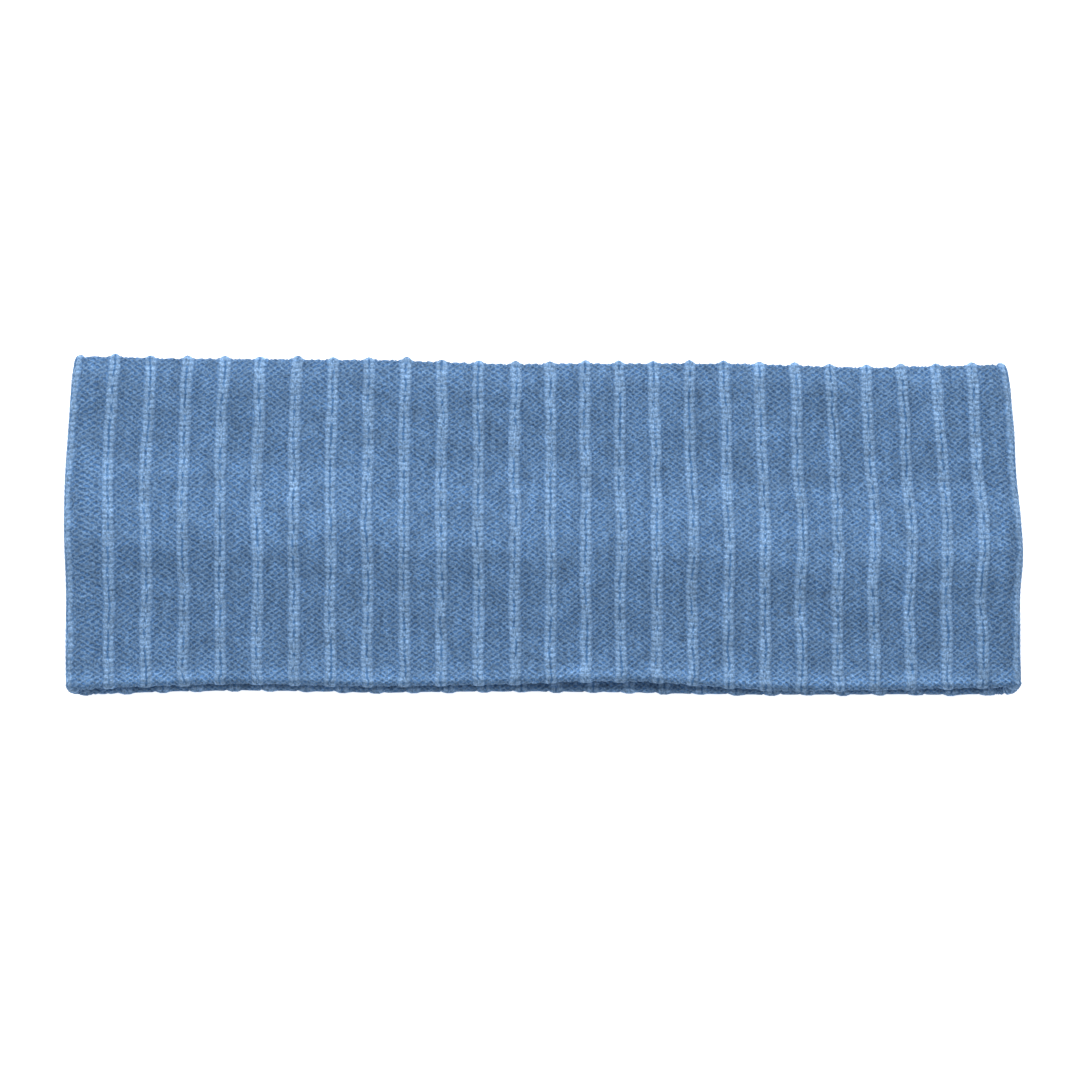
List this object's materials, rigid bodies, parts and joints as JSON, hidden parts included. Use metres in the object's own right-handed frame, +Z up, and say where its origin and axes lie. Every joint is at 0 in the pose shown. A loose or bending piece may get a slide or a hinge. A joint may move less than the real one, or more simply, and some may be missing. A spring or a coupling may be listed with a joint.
{
  "type": "ear warmer headband",
  "caption": "Soft blue rib-knit ear warmer headband, doubled knit, lying flat and folded at its two ends.",
  "frame": {"origin": "middle of the band's footprint, on the surface it lies on", "axes": "+X along the band from its left fold to its right fold as it lies, +Y across the band toward its upper edge, +Z up from the surface it lies on"},
  "size_m": [0.24, 0.0864, 0.0145],
  "materials": {
    "knit": "soft matt knit"
  },
  "bodies": {
    "root": {"knit_band": "knit"}
  },
  "joints": []
}
